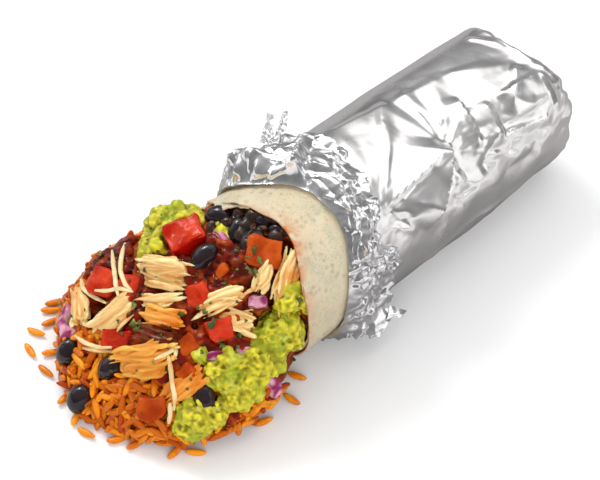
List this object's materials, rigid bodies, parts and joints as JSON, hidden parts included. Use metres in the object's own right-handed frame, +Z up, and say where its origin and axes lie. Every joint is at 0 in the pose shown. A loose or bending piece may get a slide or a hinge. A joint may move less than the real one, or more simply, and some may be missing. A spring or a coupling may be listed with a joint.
{
  "type": "burrito",
  "caption": "Foil-wrapped burrito lying on its side, opened at one end, with rice, chicken, beans, tomato, onion and guacamole spilling out in a heap.",
  "frame": {"origin": "bottom centre of the bounding box, on the surface that the burrito lies on", "axes": "+Y along the burrito towards its closed end, +Z up, and the spilled filling towards -Y"},
  "size_m": [0.107, 0.2564, 0.0791],
  "materials": {
    "foil_wrap": "thin crumpled kitchen foil, bright side out",
    "foil_cuff": "torn kitchen foil, densely crumpled, inner side out",
    "tortilla": "soft floury wheat flatbread with fine brown specks",
    "rice_filling": "moist cooked rice coloured orange by tomato and spice",
    "guacamole_right": "moist mashed avocado",
    "guacamole_left": "moist mashed avocado",
    "bean_1": "glossy cooked black bean",
    "bean_2": "glossy cooked black bean",
    "bean_3": "glossy cooked black bean",
    "bean_4": "glossy cooked black bean",
    "bean_5": "glossy cooked black bean",
    "bean_6": "glossy cooked black bean",
    "bean_7": "glossy cooked black bean",
    "bean_8": "glossy cooked black bean",
    "bean_9": "glossy cooked black bean",
    "chicken_1": "shredded grilled chicken, moist",
    "chicken_2": "shredded grilled chicken, moist",
    "chicken_3": "seared golden chicken, moist",
    "chicken_4": "shredded grilled chicken, moist",
    "chicken_5": "shredded grilled chicken, moist",
    "chicken_6": "chicken coated in red-brown salsa",
    "chicken_7": "shredded grilled chicken, moist",
    "chicken_8": "chicken coated in red-brown salsa",
    "tomato_1": "wet diced tomato",
    "tomato_2": "wet diced tomato",
    "tomato_3": "wet diced tomato",
    "tomato_4": "wet diced tomato, orange-red",
    "tomato_5": "wet diced tomato",
    "tomato_6": "wet diced tomato, orange-red",
    "tomato_7": "wet diced tomato",
    "tomato_8": "wet diced tomato, orange-red",
    "tomato_9": "wet diced tomato, orange-red",
    "tomato_10": "wet diced tomato",
    "tomato_11": "wet diced tomato, orange-red",
    "tomato_12": "wet diced tomato, orange-red",
    "red_onion_1": "wet sliced red onion",
    "red_onion_2": "wet sliced red onion",
    "red_onion_3": "wet sliced red onion",
    "red_onion_4": "wet sliced red onion",
    "red_onion_5": "wet sliced red onion",
    "red_onion_6": "wet sliced red onion"
  },
  "bodies": {
    "root": {"foil_wrap": "foil_wrap", "foil_cuff": "foil_cuff", "tortilla": "tortilla", "rice_filling": "rice_filling", "guacamole_right": "guacamole_right", "guacamole_left": "guacamole_left", "bean_1": "bean_1", "bean_2": "bean_2", "bean_3": "bean_3", "bean_4": "bean_4", "bean_5": "bean_5", "bean_6": "bean_6", "bean_7": "bean_7", "bean_8": "bean_8", "bean_9": "bean_9", "chicken_1": "chicken_1", "chicken_2": "chicken_2", "chicken_3": "chicken_3", "chicken_4": "chicken_4", "chicken_5": "chicken_5", "chicken_6": "chicken_6", "chicken_7": "chicken_7", "chicken_8": "chicken_8", "tomato_1": "tomato_1", "tomato_2": "tomato_2", "tomato_3": "tomato_3", "tomato_4": "tomato_4", "tomato_5": "tomato_5", "tomato_6": "tomato_6", "tomato_7": "tomato_7", "tomato_8": "tomato_8", "tomato_9": "tomato_9", "tomato_10": "tomato_10", "tomato_11": "tomato_11", "tomato_12": "tomato_12", "red_onion_1": "red_onion_1", "red_onion_2": "red_onion_2", "red_onion_3": "red_onion_3", "red_onion_4": "red_onion_4", "red_onion_5": "red_onion_5", "red_onion_6": "red_onion_6"}
  },
  "joints": []
}
